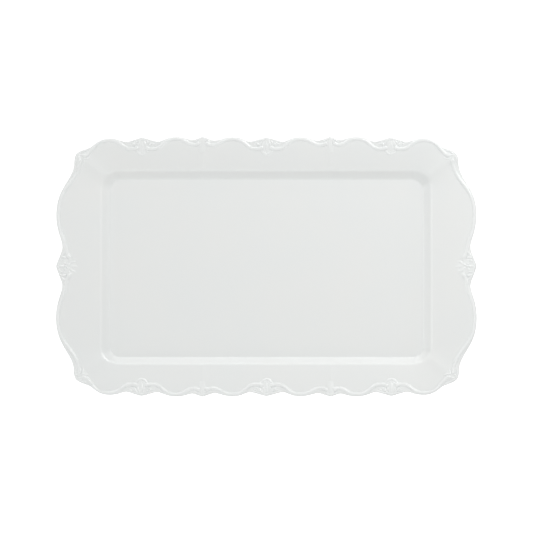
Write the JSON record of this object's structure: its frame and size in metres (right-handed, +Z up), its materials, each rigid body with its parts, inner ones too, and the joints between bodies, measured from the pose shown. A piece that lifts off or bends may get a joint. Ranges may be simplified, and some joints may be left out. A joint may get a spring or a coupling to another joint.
{
  "type": "serving platter",
  "caption": "Rectangular white china serving platter with a flat well, a wide scalloped rim, a beaded edge and moulded relief sprigs.",
  "frame": {"origin": "centre of the foot ring's base, on the surface that the platter stands on", "axes": "+X along the length, to the viewer's right; +Y across the width, away from the viewer; +Z up out of the well"},
  "size_m": [0.406, 0.252, 0.025],
  "materials": {
    "white_glaze": "glossy white glaze with a slight cool tint",
    "glazed_relief": "glossy white glaze, softened over the relief",
    "unglazed_foot": "matte fired body, wiped clean of glaze"
  },
  "bodies": {
    "root": {"platter_body": "white_glaze", "foot_ring": "unglazed_foot", "rim_bead_back": "glazed_relief", "rim_bead_front": "glazed_relief", "rim_bead_left": "glazed_relief", "rim_bead_right": "glazed_relief", "palmette_back_left": "glazed_relief", "palmette_back_middle": "glazed_relief", "palmette_back_right": "glazed_relief", "palmette_front_left": "glazed_relief", "palmette_front_middle": "glazed_relief", "palmette_front_right": "glazed_relief", "bud_back_left": "glazed_relief", "bud_back_right": "glazed_relief", "bud_front_left": "glazed_relief", "bud_front_right": "glazed_relief", "leaf_back_left": "glazed_relief", "leaf_back_right": "glazed_relief", "leaf_front_left": "glazed_relief", "leaf_front_right": "glazed_relief", "rosette_left": "glazed_relief", "rosette_right": "glazed_relief"}
  },
  "joints": []
}
